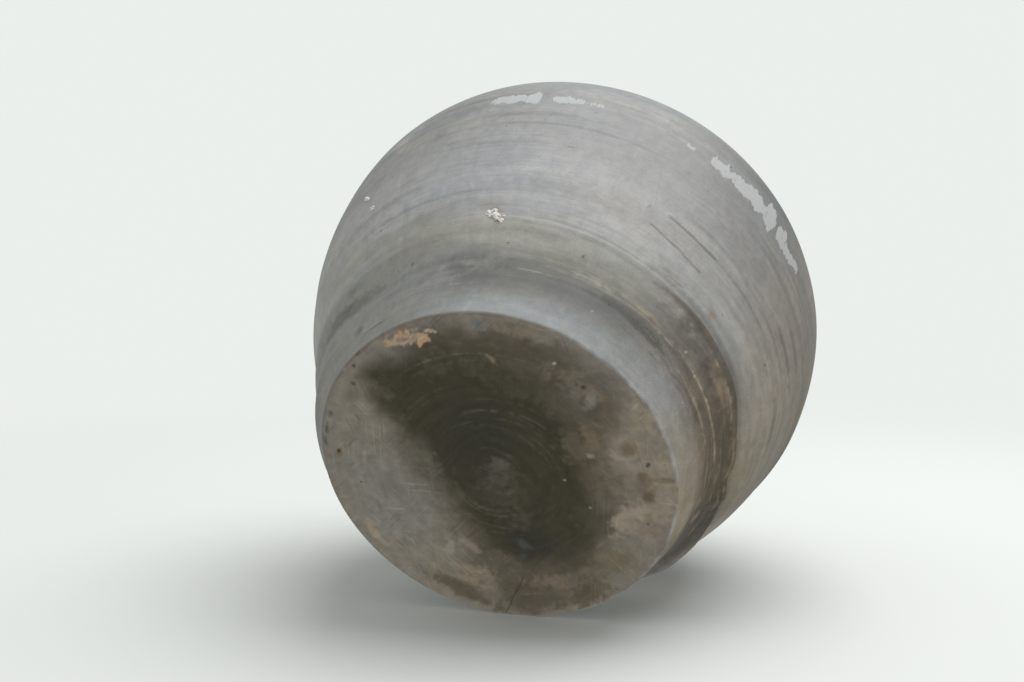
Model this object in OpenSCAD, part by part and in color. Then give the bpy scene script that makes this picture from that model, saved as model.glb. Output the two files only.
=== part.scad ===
// Black clay pot with a wide body, a flared foot, a flat base and an open mouth.
// It stands upright on z = 0 with its axis on Z. All sizes are in millimetres.
//
// The whole wall is one turned section. Bevelled seams cut it into the clay
// members that a potter makes one after another and lutes together, so each
// member meets the next one face to face on a cone.

/* [Overall] */
// Diameter of the flat base
base_d = 222; // [214:1:228]
// Diameter at the widest point of the body
belly_d = 346; // [342:1:352]
// Height of the widest point above the base
belly_h = 181; // [180:1:184]
// Height of the pot to the top of its lip
pot_h = 304; // [302:0.5:306]

/* [Base and foot] */
// Thickness of the floor
floor_t = 12; // [10:0.5:14]
// Radius of the worn edge round the base
base_edge_r = 1.5; // [1:0.5:4]
// Height of the foot's crest above the base
foot_h = 31; // [29:0.5:33]
// Diameter of the foot's crest
foot_d = 240; // [236:0.5:242]
// Height of the waist between the foot and the ridge
waist_h = 44; // [42:0.5:46]
// Diameter of the waist
waist_d = 246; // [244:0.5:248]

/* [Ridge] */
// Height of the ridge that the body is built on
ridge_h = 67; // [66:0.5:68]
// Diameter of the ridge
ridge_d = 277.6; // [275:0.2:279]
// Radius of the ridge's rounded edge
ridge_edge_r = 3; // [2:0.5:3.5]

/* [Body] */
// Height at which the body's lower turn ends
turn_h = 101; // [99:0.5:103]
// Curve radius of the body's lower turn
turn_curve_r = 104; // [98:1:110]
// Curve radius of the body from the lower turn to the widest point
body_curve_r = 213; // [205:1:220]
// Curve radius of the shoulder
shoulder_curve_r = 110; // [107:1:112]
// Thickness of the body's wall
wall_t = 9; // [7:0.5:10]

/* [Neck and lip] */
// Angle round the shoulder's curve at which the neck begins
neck_angle = 58; // [56:0.5:60]
// Curve radius of the hollow outside the neck
neck_curve_r = 16; // [14:0.5:18]
// Diameter over the rolled lip
lip_d = 256; // [252:1:260]
// Thickness of the rolled lip
lip_t = 13; // [11:0.5:14]

/* [Hidden] */
$fn = 144;

base_r = base_d / 2;
belly_r = belly_d / 2;
foot_r = foot_d / 2;
waist_r = waist_d / 2;
ridge_r = ridge_d / 2;
lip_r = lip_d / 2;

// Past every outline, for the shapes that cut one
far = 2 * belly_r;

// Curves that follow each other cross by this much, so that they meet at one point
// instead of touching along a stretch.
cross = 0.1;
overlap = 15;

// Clay colours, from the smoked base to the worn silver-grey body
base_clay = [0.34, 0.31, 0.26];
foot_clay = [0.62, 0.64, 0.66];
ridge_clay = [0.42, 0.37, 0.30];
body_clay = [0.60, 0.59, 0.57];
upper_clay = [0.50, 0.50, 0.49];

// The body's outer curve is three arcs that meet without a corner. Centres are
// given as [radius, height].
belly_centre = [belly_r - body_curve_r, belly_h];
shoulder_centre = [belly_r - shoulder_curve_r, belly_h];
turn_end = [belly_centre.x + sqrt(body_curve_r ^ 2 - (belly_h - turn_h) ^ 2), turn_h];
turn_centre = turn_end + (belly_centre - turn_end) * turn_curve_r / body_curve_r;

// The neck's hollow touches the shoulder's curve where the neck begins.
neck_direction = [cos(neck_angle), sin(neck_angle)];
neck_centre = shoulder_centre + (shoulder_curve_r + neck_curve_r) * neck_direction;
neck_seam_step = 4;
neck_seam_angle = neck_angle - neck_seam_step;
// The shoulder runs on this far above the start of the neck's hollow.
shoulder_overlap = neck_curve_r / 4;

// The ridge's sloping face ends a little inside its rounded edge, so the two cross.
ridge_centre = [ridge_r - ridge_edge_r, ridge_h];
ridge_face_angle = atan2(ridge_h - waist_h, ridge_r - waist_r);
ridge_face_normal = [sin(ridge_face_angle), -cos(ridge_face_angle)];
ridge_face_reach = 0.95;
ridge_face_end = ridge_centre + ridge_face_reach * ridge_edge_r * ridge_face_normal;
ridge_top_h = ridge_h + ridge_edge_r / 2;

// A round groove parts the ridge's edge from the body above it.
groove_r = 1.6;
groove_inset = 0.2;
groove_rise = 0.4;
groove_centre = [ridge_r - groove_inset, ridge_h + ridge_edge_r + groove_rise];
body_start_h = ridge_h;

// The floor inside turns up into the wall round a fillet, and the hollow over it
// reaches up into the body's.
floor_fillet_r = 20;
floor_inset = 8;
floor_r = base_r - floor_inset;
floor_overlap = 8;
floor_top_h = ridge_h + floor_overlap;
floor_top_inset = 1;
waist_wall_t = 9;

// The lip is a roll with a small round inner edge and a large outer one, and a
// slight dish between them.
lip_dish = 0.4;
lip_outer_r = lip_t / 2;
lip_edge_step = 1.5;
lip_inner_r = lip_outer_r - lip_edge_step;
lip_outer_centre = [lip_r - lip_outer_r, pot_h - lip_outer_r];
lip_inner_h = pot_h - lip_inner_r;
lip_inner_centre = [neck_r(lip_inner_h, wall_t) + lip_inner_r, lip_inner_h];

// Radius at a height on an arc, on the side away from the axis
function arc_r(centre, r, h) = centre.x + sqrt(r ^ 2 - (h - centre.y) ^ 2);

// Radius of the body at a height, at a depth below its outer face
function body_r(h, depth = 0) =
    h < turn_h ? arc_r(turn_centre, turn_curve_r - depth, h)
    : h < belly_h ? arc_r(belly_centre, body_curve_r - depth, h)
    : arc_r(shoulder_centre, shoulder_curve_r - depth, h);

// Point on the shoulder at an angle round its curve, at a depth below its outer face
function shoulder_point(angle, depth) =
    shoulder_centre + (shoulder_curve_r - depth) * [cos(angle), sin(angle)];

// Radius of the neck at a height, at a depth below its outer face
function neck_r(h, depth = 0) =
    neck_centre.x - sqrt((neck_curve_r + depth + cross) ^ 2 - (h - neck_centre.y) ^ 2);

// Each seam runs from a point on the outer face, or outside it, to a point on the
// inner one, or inside it.
body_rise = 12;
ridge_rise = 8;
function body_seam(h) = [[body_r(h), h], [body_r(h + body_rise, wall_t), h + body_rise]];

slab_seam_h = 8;
slab_seam_rise = 6;
slab_seam = [[foot_r, slab_seam_h], [floor_r - floor_fillet_r, slab_seam_h + slab_seam_rise]];
waist_seam = [[waist_r, waist_h], [waist_r - waist_wall_t, waist_h + waist_wall_t]];
ridge_seam_top = groove_centre.y + ridge_rise;
ridge_seam = [groove_centre, [body_r(ridge_seam_top, wall_t), ridge_seam_top]];
lower_seam_h = 128;
lower_seam = body_seam(lower_seam_h);
belly_seam_h = 210;
belly_seam = body_seam(belly_seam_h);
neck_seam = [shoulder_point(neck_seam_angle, 0), shoulder_point(neck_seam_angle, wall_t)];
lip_seam_drop = 1;
lip_seam_h = pot_h - lip_t - lip_seam_drop;
lip_seam_rise = 3;
lip_seam_top = lip_seam_h + lip_seam_rise;
lip_seam = [[neck_r(lip_seam_h), lip_seam_h], [neck_r(lip_seam_top, wall_t), lip_seam_top]];
// The wall is drawn this far past its last seam.
past_seam = 1;

// The stretch of a disc between two heights, filled to the axis
module arc_slice(centre, r, low, high) {
    intersection() {
        translate(centre) circle(r);
        translate([0, low]) square([far, high - low]);
    }
    if (centre.x > 0) translate([0, low]) square([centre.x, high - low]);
}

// The body from the ridge to its widest point, at a depth below its outer face
module body_outline(depth = 0) {
    arc_slice(turn_centre, turn_curve_r - depth + cross, body_start_h, turn_h + overlap);
    arc_slice(belly_centre, body_curve_r - depth, turn_h, belly_h);
}

// The shoulder, and the neck up to a height, at a depth below their outer face
module shoulder_outline(top_h, depth = 0) {
    root = shoulder_point(neck_angle, depth);
    difference() {
        union() {
            arc_slice(shoulder_centre, shoulder_curve_r - depth, belly_h, root.y + shoulder_overlap);
            translate([0, root.y]) square([root.x, top_h - root.y]);
        }
        translate(neck_centre) circle(neck_curve_r + depth + cross);
    }
}

// Foot, waist and ridge, filled to the axis
module foot_outline() {
    polygon([
        [0, 0],
        [base_r - base_edge_r, 0],
        [base_r, base_edge_r],
        [foot_r, foot_h],
        [waist_r, waist_h],
        ridge_face_end,
        [ridge_centre.x, ridge_top_h],
        [0, ridge_top_h]
    ]);
    translate([base_r - base_edge_r, base_edge_r]) circle(base_edge_r);
    translate(ridge_centre) circle(ridge_edge_r);
}

// The hollow from the floor to the start of the body
module floor_outline() {
    polygon([
        [0, floor_t],
        [floor_r - floor_fillet_r, floor_t],
        [floor_r, floor_t + floor_fillet_r],
        waist_seam[1],
        [body_r(floor_top_h, wall_t) - floor_top_inset, floor_top_h],
        [0, floor_top_h]
    ]);
    translate([floor_r - floor_fillet_r, floor_t + floor_fillet_r]) circle(floor_fillet_r);
}

module lip_outline() {
    translate(lip_inner_centre) circle(lip_inner_r);
    translate(lip_outer_centre) circle(lip_outer_r);
    polygon([
        [neck_r(lip_seam_h), lip_seam_h],
        [lip_outer_centre.x, pot_h - lip_t + lip_dish],
        [lip_outer_centre.x, pot_h - lip_dish],
        [lip_inner_centre.x, pot_h - lip_dish],
        [neck_r(lip_inner_h, wall_t), lip_inner_h],
        lip_seam[1]
    ]);
}

// The section of the whole wall, on one side of the axis
module wall_section() {
    difference() {
        union() {
            foot_outline();
            body_outline();
            shoulder_outline(lip_seam_top + past_seam);
        }
        translate(groove_centre) circle(groove_r);
        floor_outline();
        body_outline(wall_t);
        shoulder_outline(pot_h, wall_t);
    }
}

// All of the half plane that lies below a seam
module below(seam) {
    polygon([
        [0, -far],
        [far, -far],
        [far, seam[0].y],
        seam[0],
        seam[1],
        [0, seam[1].y]
    ]);
}

// The ring of wall between two seams
module wall_member(low_seam, high_seam) {
    rotate_extrude() difference() {
        intersection() {
            wall_section();
            below(high_seam);
        }
        below(low_seam);
    }
}

module base_slab() {
    color(base_clay) rotate_extrude() intersection() {
        wall_section();
        below(slab_seam);
    }
}

module foot_coil() {
    color(foot_clay) wall_member(slab_seam, waist_seam);
}

module ridge_coil() {
    color(ridge_clay) wall_member(waist_seam, ridge_seam);
}

module lower_wall() {
    color(body_clay) wall_member(ridge_seam, lower_seam);
}

module belly_wall() {
    color(body_clay) wall_member(lower_seam, belly_seam);
}

module shoulder() {
    color(upper_clay) wall_member(belly_seam, neck_seam);
}

module neck() {
    color(upper_clay) wall_member(neck_seam, lip_seam);
}

module lip_roll() {
    color(upper_clay) rotate_extrude() difference() {
        lip_outline();
        below(lip_seam);
    }
}

base_slab();
foot_coil();
ridge_coil();
lower_wall();
belly_wall();
shoulder();
neck();
lip_roll();
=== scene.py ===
import math

import bmesh
import bpy
import numpy as np
from mathutils import Matrix, Vector
from mathutils import noise as mathutils_noise


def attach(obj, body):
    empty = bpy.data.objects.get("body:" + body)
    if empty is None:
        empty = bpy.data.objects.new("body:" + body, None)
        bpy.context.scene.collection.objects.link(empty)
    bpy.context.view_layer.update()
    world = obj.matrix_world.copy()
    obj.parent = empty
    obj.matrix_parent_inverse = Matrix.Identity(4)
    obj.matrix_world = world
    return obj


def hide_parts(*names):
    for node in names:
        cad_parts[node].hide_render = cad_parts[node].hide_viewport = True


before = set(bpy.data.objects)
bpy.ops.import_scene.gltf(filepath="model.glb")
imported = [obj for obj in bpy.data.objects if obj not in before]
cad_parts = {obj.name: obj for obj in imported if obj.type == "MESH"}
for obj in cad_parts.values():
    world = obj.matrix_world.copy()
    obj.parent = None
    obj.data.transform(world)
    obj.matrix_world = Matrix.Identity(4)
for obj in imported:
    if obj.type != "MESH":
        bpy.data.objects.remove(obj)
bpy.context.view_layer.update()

MM = 0.001

# ---- Section of the wall, in millimetres, as [radius, height] -----------------------

# The driving dimensions are the CAD's: radii, heights, and the curves' radii and angles
BASE_R, EDGE_R = 111, 1.5
FOOT_R, FOOT_H = 120, 31
WAIST_R, WAIST_H = 123, 44
RIDGE_R, RIDGE_H, RIDGE_EDGE_R = 138.8, 67, 3
TURN_H, TURN_RAD = 101, 104
BELLY_R, BELLY_H, BELLY_RAD = 173, 181, 213
SHOULDER_RAD, NECK_RAD, NECK_DEG = 110, 16, 58
POT_H, LIP_T = 304, 13
WALL, FLOOR_T = 9, 12
SEAM_RISE, NECK_SEAM_DEG = 12, 54


def polar(centre, radius, deg):
    """The point at an angle on a circle."""
    return centre[0] + radius * math.cos(math.radians(deg)), centre[1] + radius * math.sin(math.radians(deg))


BELLY_C = (BELLY_R - BELLY_RAD, BELLY_H)
SHOULDER_C = (BELLY_R - SHOULDER_RAD, BELLY_H)
TURN_DEG = math.degrees(math.asin((TURN_H - BELLY_H) / BELLY_RAD))
TURN_C = polar(BELLY_C, BELLY_RAD - TURN_RAD, TURN_DEG)
NECK_C = polar(SHOULDER_C, SHOULDER_RAD + NECK_RAD, NECK_DEG)
FLOOR_FILLET, FLOOR_R = 20, 103
DENSE = 0.25
OUTER_STEP, FINE_STEP, INNER_STEP = 1.0, 0.4, 3.2
STEPS = 864
FAR = 1e9


def arc(centre, radius, start, end):
    """Points on an arc, from one angle to another in degrees."""
    n = max(2, int(abs(math.radians(end - start)) * radius / DENSE))
    a = np.radians(np.linspace(start, end, n))
    return np.stack([centre[0] + radius * np.cos(a), centre[1] + radius * np.sin(a)], 1)


def dense(points):
    """The same line with a point every DENSE millimetres."""
    d = np.hypot(*np.diff(points, axis=0).T)
    s = np.concatenate([[0], np.cumsum(d)])
    keep = np.concatenate([[True], d > 1e-6])
    s, points = s[keep], points[keep]
    t = np.linspace(0, s[-1], int(s[-1] / DENSE))
    return np.stack([np.interp(t, s, points[:, 0]), np.interp(t, s, points[:, 1])], 1)


def soften(points, sigma):
    """The line with its corners rounded over about sigma millimetres."""
    n = int(4 * sigma / DENSE)
    k = np.exp(-0.5 * (np.arange(-n, n + 1) * DENSE / sigma) ** 2)
    k /= k.sum()
    mirror = 2 * points[0] - points[n:0:-1]
    tail = 2 * points[-1] - points[-2 : -n - 2 : -1]
    padded = np.concatenate([mirror, points, tail])
    return np.stack([np.convolve(padded[:, i], k, "valid") for i in (0, 1)], 1)


line = np.concatenate(
    [
        [(0, 0)],
        arc((BASE_R - EDGE_R, EDGE_R), EDGE_R, -90, -20),
        [(FOOT_R, FOOT_H), (WAIST_R, WAIST_H)],
        arc((RIDGE_R - RIDGE_EDGE_R, RIDGE_H), RIDGE_EDGE_R, -34, 55),
        [(RIDGE_R - 2, RIDGE_H + 4)],
        arc(TURN_C, TURN_RAD, -40.6, TURN_DEG),
        arc(BELLY_C, BELLY_RAD, TURN_DEG, 0),
        arc(SHOULDER_C, SHOULDER_RAD, 0, NECK_DEG),
        arc(NECK_C, NECK_RAD, 180 + NECK_DEG, 190),
        [(NECK_C[0] - NECK_RAD, POT_H - LIP_T - 1)],
        arc((121.5, 297.5), 6.5, -80, 90),
        [(117, 303.6)],
        arc((112.3, 299), 5, 90, 180),
        arc(NECK_C, NECK_RAD + WALL, 154, 180 + NECK_DEG),
        arc(SHOULDER_C, SHOULDER_RAD - WALL, NECK_DEG, 0),
        arc(BELLY_C, BELLY_RAD - WALL, 0, TURN_DEG),
        arc(TURN_C, TURN_RAD - WALL, TURN_DEG, -43),
        [(WAIST_R - WALL, WAIST_H + WALL), (FLOOR_R, FLOOR_T + FLOOR_FILLET)],
        arc((FLOOR_R - FLOOR_FILLET, FLOOR_T + FLOOR_FILLET), FLOOR_FILLET, 0, -90),
        [(0, FLOOR_T)],
    ]
)
line = dense(line)
crisp = soften(line, 0.7)
soft = soften(line, 5)
flowing = soften(line, 9)


def bump(x, low, high, edge):
    """1 between low and high, falling to 0 over edge on either side."""
    t = np.clip(np.minimum(x - low, high - x) / edge + 1, 0, 1)
    return t * t * (3 - 2 * t)


outside = np.arange(len(line)) < np.argmax(line[:, 1])
waist = (bump(line[:, 1], 26, 52, 8) * outside)[:, None]
crisp = crisp * (1 - waist) + soft * waist
crisp[0, 0] = crisp[-1, 0] = 0

# Where each member ends: the height of its seam on the outer face and on the inner face
SEAMS = [
    (FLOOR_T - 3, FLOOR_T + 1),
    (WAIST_H, WAIST_H + WALL),
    (RIDGE_H + 4, RIDGE_H + 11.5),
    (128, 128 + SEAM_RISE),
    (210, 210 + SEAM_RISE),
    tuple(polar(SHOULDER_C, SHOULDER_RAD - depth, NECK_SEAM_DEG)[1] for depth in (0, WALL)),
    (POT_H - LIP_T - 1, POT_H - LIP_T + 2),
]
# Each node and the slot that its clay stands for, from the base up
NODES = {
    "base_slab": "base_clay",
    "foot_coil": "foot_clay",
    "ridge_coil": "ridge_clay",
    "lower_wall": "body_clay",
    "belly_wall": "body_clay",
    "shoulder": "upper_clay",
    "neck": "upper_clay",
    "lip_roll": "upper_clay",
}
TOP = len(NODES) - 1


def at_height(height, side):
    """The point of the line at a height, on the outer or the inner side."""
    return int(np.argmin(np.where(outside == side, np.abs(line[:, 1] - height), FAR)))


outer_ends = [at_height(outer, True) for outer, _ in SEAMS]
inner_ends = [at_height(inner, False) for _, inner in SEAMS[::-1]]
ends = [0] + outer_ends + inner_ends + [len(line) - 1]
# The outside has a row of points every millimetre, and more of them at the rim and along the ridge.
# The lip keeps the outer spacing over its top and a little way down its inner face.
LIP_POINTS = 150
step = np.where(outside, OUTER_STEP, INNER_STEP)
rim = outside & (line[:, 0] > BASE_R - 3) & (line[:, 1] < 3)
step[rim | (outside & (line[:, 1] > 66) & (line[:, 1] < 73))] = FINE_STEP
step[ends[TOP] : ends[TOP] + LIP_POINTS] = OUTER_STEP
rows, marks = [0], [0]
for a, b in zip(ends[:-1], ends[1:]):
    passed = np.concatenate([[0], np.cumsum(DENSE / step[a:b])])
    wanted = np.linspace(0, passed[-1], max(1, round(passed[-1])) + 1)[1:-1]
    rows += sorted(set(a + np.searchsorted(passed, wanted))) + [b]
    marks.append(len(rows) - 1)
rows = np.array(rows)
# marks[k] is the row at which node k's outer face begins. Its inner face ends at marks[15 - k].

# ---- The surface: a radius and a height for every row and angle --------------------

theta = np.arange(STEPS) * 2 * math.pi / STEPS
T = theta[None, :]
DEG = np.degrees(theta)


def turn(deg, centre, half, edge):
    """1 within half of an angle, falling to 0 over edge, all in degrees."""
    d = np.abs((deg - centre + 180) % 360 - 180)
    t = np.clip((half + edge - d) / edge, 0, 1)
    return t * t * (3 - 2 * t)


def noise(u, v, nu, nv, seed):
    """Smooth noise from -1 to 1 on a grid of nu cells round the pot and nv along it."""
    g = np.random.RandomState(seed).uniform(-1, 1, (nv + 2, nu))
    x, y = (u % 1) * nu, np.clip(v, 0, 1) * nv
    i, j = np.floor(x).astype(int), np.minimum(np.floor(y).astype(int), nv)
    fx, fy = x - i, y - j
    fx, fy = fx * fx * (3 - 2 * fx), fy * fy * (3 - 2 * fy)
    i0, i1 = i % nu, (i + 1) % nu
    below = g[j, i0] * (1 - fx) + g[j, i1] * fx
    above = g[j + 1, i0] * (1 - fx) + g[j + 1, i1] * fx
    return below * (1 - fy) + above * fy


sharp = turn(DEG, 348, 35, 34)[None, :]
ridge_zone = bump(line[rows, 1], 60, 82, 12)[:, None] * outside[rows][:, None]
blend = ridge_zone * (1 - sharp)
P = crisp[rows][:, None, :] * (1 - blend[..., None]) + flowing[rows][:, None, :] * blend[..., None]
N = np.gradient(crisp, axis=0)[rows]
N = np.stack([N[:, 1], -N[:, 0]], 1) / np.hypot(*N.T)[:, None]
H = crisp[rows, 1][:, None]
V = (rows / len(line))[:, None]
is_out = outside[rows][:, None]
U = T / (2 * math.pi)
# Outside, the wall is a little out of round and carries throwing lines
side = is_out * np.clip((H - 6) / 30, 0, 1)
push = side * (
    0.45 * np.sin(T + 1.1)
    + 0.3 * np.sin(2 * T + 0.4)
    + 0.16 * noise(U, V, 3, 44, 2)
    + 0.05 * noise(U, V, 5, 130, 4)
    + 0.20 * noise(U, V, 26, 60, 3)
)
# Inside, it has broad finger rings
RING_GAP, FLOOR_RING_GAP = 21, 8.5
inside = ~is_out * np.clip((H - 20) / 30, 0, 1)
phase = 2 * math.pi * H / RING_GAP + 0.9 * np.sin(T) + 1.8 * noise(U, V, 3, 14, 6)
push = push + inside * (0.5 * np.sin(phase) + 0.3 * noise(U, V, 20, 70, 5))
# Underneath, the base is dished by half a millimetre and carries a spiral
R0 = crisp[rows, 0][:, None]
under = (is_out & (H < EDGE_R)) * np.clip((BASE_R - 2 - R0) / 12, 0, 1)
spiral = np.sin(2 * math.pi * R0 / FLOOR_RING_GAP + T)
push = push - under * (0.5 + 0.25 * spiral + 0.15 * noise(U, V, 30, 50, 9))

# The ridge wanders up and down, and on one side the foot is thrown wide and hides the waist
# Angle, and millimetres up
WANDER = [
    (0, 0), (60, 0), (240, 0), (270, -2), (283, -4), (296, -1),
    (320, 0), (331, -4), (337, -5), (344, -6), (350, -4), (355, -1),
]
wander = np.interp(DEG, *np.array(WANDER).T, period=360)
# Height, and millimetres out
BULGE = [(0, 0.8), (10, 3.5), (20, 7.5), (31, 8), (44, 8.5), (55, 7), (67, 4), (80, 1), (92, 0)]
bulge = np.interp(H, *np.array(BULGE).T) * np.clip(R0 / BASE_R, 0, 1) ** 4
bulge = bulge * turn(DEG, 160, 15, 35)[None, :] * is_out
# The ridge is pinched and then drawn out to a lip on the right, below a flat place in the wall
PINCH = [
    (0, -1.3), (8, 0.5), (15, 3), (20, 4), (28, 6), (36, 5), (50, 2),
    (65, 0), (325, 0), (335, -2), (343, -2), (349, -4.5), (353, -2.5), (356.5, -0.5),
]
pinch = np.interp(DEG, *np.array(PINCH).T, period=360)[None, :] * bump(H, 58, 69, 9) * is_out
flat = 2.4 * bump(H, 94, 134, 18) * turn(DEG, 6, 12, 24)[None, :] * is_out
R = P[..., 0] + N[:, None, 0] * push + bulge + pinch - flat
Z = P[..., 1] + N[:, None, 1] * push + wander[None, :] * bump(H, 64, 71, 19) * is_out
R[0] = R[-1] = 0
Z[0], Z[-1] = Z[0].mean(), Z[-1].mean()
Z = np.where(is_out & (H < 40), np.maximum(Z, 0), Z)
grid = np.stack([R * np.cos(T), R * np.sin(T), Z], -1) * MM
along = np.gradient(grid, axis=0)
sideways = np.roll(grid, -1, 1) - np.roll(grid, 1, 1)
normal = np.cross(sideways, along)
normal /= np.maximum(np.linalg.norm(normal, axis=2, keepdims=True), 1e-12)
normal[0], normal[-1] = (0, 0, -1), (0, 0, 1)

# ---- Paint: the clay's colour and marks at every point ------------------------------
# Places are an angle round the pot in degrees and a height in millimetres, or on the
# base an x and a y in millimetres.

H2 = H + 0 * T
R2 = R0 + 0 * T
D2 = DEG[None, :] + 0 * H
X2, Y2 = R2 * np.cos(T), R2 * np.sin(T)


def smooth(x, low, high):
    """0 below low, 1 above high."""
    t = np.clip((x - low) / (high - low), 0, 1)
    return t * t * (3 - 2 * t)


def lattice(i, j, k, seed):
    h = (i * 374761393 + j * 668265263 + k * 1442695041 + seed * 974634777) & 0xFFFFFFFF
    h = ((h ^ (h >> 13)) * 1274126177) & 0xFFFFFFFF
    return ((h ^ (h >> 16)) & 0xFFFF) / 32767.5 - 1


def solid_noise(x, y, z, seed, octaves=3):
    """Smooth noise from about -1 to 1 in space, one cell a unit."""
    total, size, norm = 0, 1.0, 0
    for o in range(octaves):
        c = [v * 2**o for v in (x, y, z)]
        i = [np.floor(v).astype(np.int64) for v in c]
        f = [v - w for v, w in zip(c, i)]
        f = [v * v * (3 - 2 * v) for v in f]
        value = 0
        for a in (0, 1):
            for b in (0, 1):
                for d in (0, 1):
                    w = (f[0] if a else 1 - f[0]) * (f[1] if b else 1 - f[1]) * (f[2] if d else 1 - f[2])
                    value = value + w * lattice(i[0] + a, i[1] + b, i[2] + d, seed + 17 * o)
        total, norm, size = total + value * size, norm + size, size * 0.55
    return total / norm * 1.4


cloud = solid_noise(X2 / 38, Y2 / 38, H2 / 30, 1)
patchy = solid_noise(X2 / 11, Y2 / 11, H2 / 8, 2)
streaky = solid_noise(np.cos(T) * 2.6 + 0 * H, np.sin(T) * 2.6 + 0 * H, (H2 + 1.5 * patchy) / 5.5, 3, 4)
long_streak = solid_noise(np.cos(T) * 1.6 + 0 * H, np.sin(T) * 1.6 + 0 * H, (H2 + 6 * cloud) / 15, 4, 3)
off_x, off_y = X2 - 3, Y2 - 2
swirl = solid_noise(off_x / 30, off_y / 30, np.hypot(off_x, off_y) / 2.6, 9, 3)
upright = solid_noise(X2 / 2.2, Y2 / 2.2, H2 / 16, 5)
ragged = solid_noise(X2 / 3.4, Y2 / 3.4, H2 / 3.4, 8)
warp_a, warp_b = solid_noise(X2 / 16, Y2 / 16, H2 / 16, 6), solid_noise(X2 / 16, Y2 / 16, H2 / 16, 7)


def lay(colour, over, amount):
    """colour with over mixed in by amount."""
    a = np.clip(amount, 0, 1)[..., None]
    return colour * (1 - a) + np.array(over) * a


def around_mark(deg, high, half_deg, half_high, rough=0.35):
    """A soft patch on the wall, with an uneven edge."""
    d = ((D2 - deg + 180) % 360 - 180) / half_deg
    v = (H2 - high) / half_high
    return smooth(1.4 - np.sqrt(d * d + v * v) + rough * warp_a + 0.55 * ragged + 0.3 * streaky, 0, 1.0)


def lay_round(colour, rows):
    """colour with marks on the wall laid over it in turn."""
    for deg, high, half_deg, half_high, over, strength in rows:
        colour = lay(colour, over, around_mark(deg, high, half_deg, half_high) * strength)
    return colour


def base_mark(x, y, long, wide, lean=0.0, rough=0.3, edge=1.0):
    """A soft patch on the base, with its long side at an angle lean from x."""
    c, s = math.cos(math.radians(lean)), math.sin(math.radians(lean))
    u, v = (X2 - x) * c + (Y2 - y) * s, (Y2 - y) * c - (X2 - x) * s
    torn = rough * (0.5 * warp_b + 1.6 * ragged) + 0.25 * patchy
    return smooth(1.35 - np.hypot(u / long, v / wide) + torn, 0, edge)


def lay_below(colour, rows):
    """colour with marks on the base laid over it in turn."""
    for x, y, long, wide, lean, over, strength, *torn in rows:
        colour = lay(colour, over, base_mark(x, y, long, wide, lean, *torn) * strength)
    return colour


def inside_shape(points):
    """Signed distance in millimetres to a closed shape on the base, positive inside it."""
    px, py = X2 + 5 * warp_a + 1.5 * patchy, Y2 + 5 * warp_b
    near, inner = np.full(px.shape, FAR), np.zeros(px.shape, bool)
    for (ax, ay), (bx, by) in zip(points, points[1:] + points[:1]):
        ex, ey = bx - ax, by - ay
        t = np.clip(((px - ax) * ex + (py - ay) * ey) / (ex * ex + ey * ey), 0, 1)
        near = np.minimum(near, np.hypot(px - ax - t * ex, py - ay - t * ey))
        inner ^= ((ay > py) != (by > py)) & (px < ax + ex * (py - ay) / (by - ay + 1e-9))
    return np.where(inner, near, -near)


def curve(x, *points):
    """The line through some (place, value) points."""
    return np.interp(x, *np.array(points).T)


def around(*points):
    """A colour for every angle, from (angle, brightness, green, blue) points."""
    deg, light, green, blue = np.array(points).T
    shades = [light, light * green, light * blue]
    return np.stack([np.interp(D2, deg, shade, period=360) for shade in shades], -1)


# The wall above the ridge: pale low down, greyer towards the shoulder, and darker and warmer on one side, partly
# brown staining and partly painted shade and warm bounce light, as from a brown table beneath that side
wall_light = curve(
    H2 + 6 * cloud,
    (70, 0.46), (92, 0.46), (108, 0.39), (130, 0.315), (148, 0.272),
    (172, 0.262), (190, 0.27), (205, 0.295), (240, 0.27),
)
wall = wall_light[..., None] * around(
    (5, 0.5, 0.83, 0.64), (40, 0.78, 0.93, 0.84), (90, 0.88, 0.98, 0.93), (140, 0.9, 0.99, 0.94),
    (185, 0.93, 0.99, 0.93), (215, 0.93, 1, 0.99), (250, 1, 1, 1), (275, 1, 0.985, 0.965),
    (292, 0.94, 0.98, 0.95), (305, 0.84, 0.97, 0.92), (320, 0.86, 0.9, 0.78), (335, 0.84, 0.86, 0.69),
    (350, 0.73, 0.86, 0.62),
)
wall = lay(wall, (0.49, 0.475, 0.44), bump(H2 + 2 * patchy, 70, 78, 6) * turn(D2, 292, 14, 14) * 0.5)
# A soft dark line just above the ridge on the left: painted shade in the shallow crease there.
wall = lay(wall, (0.30, 0.295, 0.265), turn(D2, 195, 25, 20) * bump(H2 + 2 * patchy, 68, 76, 4) * 0.7)
BLUE = (0.22, 0.225, 0.235)
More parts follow.
